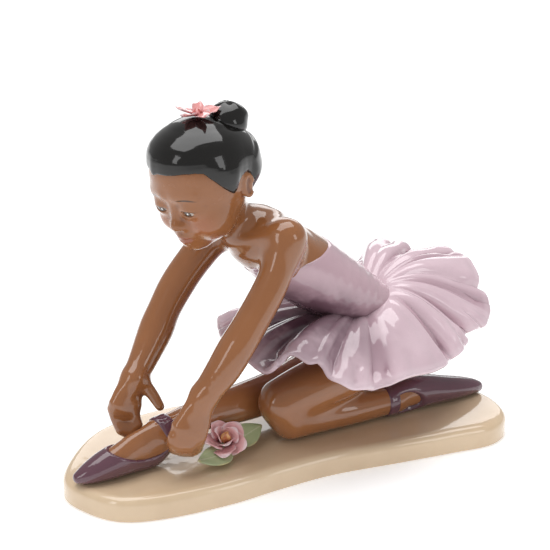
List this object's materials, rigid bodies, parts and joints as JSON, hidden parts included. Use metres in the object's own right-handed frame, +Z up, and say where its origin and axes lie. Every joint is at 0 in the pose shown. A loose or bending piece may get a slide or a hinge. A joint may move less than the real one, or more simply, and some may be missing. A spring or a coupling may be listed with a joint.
{
  "type": "porcelain figurine",
  "caption": "Glazed porcelain figurine of a young ballerina kneeling on a kidney-shaped plinth, one leg stretched forward, bending to tie her slipper beside a rose.",
  "frame": {"origin": "centre of the plinth's flat underside", "axes": "+Z up from the surface it stands on; +X along the plinth, from the stretched foot towards the folded one; +Y away from the side it is displayed from. The dancer faces -X."},
  "size_m": [0.173, 0.0735, 0.1392],
  "materials": {
    "plinth_glaze": "glossy warm beige glaze over fired porcelain",
    "skin_glaze": "glossy brown underglaze colour with a clear glaze",
    "hair_glaze": "very glossy black glaze",
    "costume_glaze": "glossy lilac glaze with mauve shading in the folds",
    "slipper_glaze": "glossy dark plum glaze",
    "rose_glaze": "glossy dusty pink glaze, paler at the petal edges",
    "bud_glaze": "glossy apricot yellow glaze",
    "leaf_glaze": "glossy grey-green glaze",
    "hair_flower_glaze": "glossy salmon pink glaze"
  },
  "bodies": {
    "root": {"bodice": "costume_glaze", "front_ankle_ribbon": "slipper_glaze", "front_leg": "skin_glaze", "front_slipper": "slipper_glaze", "hair_bun": "hair_glaze", "hair_cap": "hair_glaze", "hair_flower_centre": "hair_flower_glaze", "hair_flower_petal_1": "hair_flower_glaze", "hair_flower_petal_2": "hair_flower_glaze", "hair_flower_petal_3": "hair_flower_glaze", "hair_flower_petal_4": "hair_flower_glaze", "hair_flower_petal_5": "hair_flower_glaze", "head": "skin_glaze", "kneeling_shin": "skin_glaze", "kneeling_thigh": "skin_glaze", "leaf_back": "leaf_glaze", "leaf_front": "leaf_glaze", "left_arm": "skin_glaze", "plinth": "plinth_glaze", "rear_ankle_ribbon": "slipper_glaze", "rear_slipper": "slipper_glaze", "right_arm": "skin_glaze", "rose_bud": "bud_glaze", "rose_calyx": "leaf_glaze", "rose_inner_petal_1": "rose_glaze", "rose_inner_petal_2": "rose_glaze", "rose_inner_petal_3": "rose_glaze", "rose_outer_petal_1": "rose_glaze", "rose_outer_petal_2": "rose_glaze", "rose_outer_petal_3": "rose_glaze", "rose_outer_petal_4": "rose_glaze", "rose_outer_petal_5": "rose_glaze", "tutu": "costume_glaze", "upper_body": "skin_glaze"}
  },
  "joints": []
}
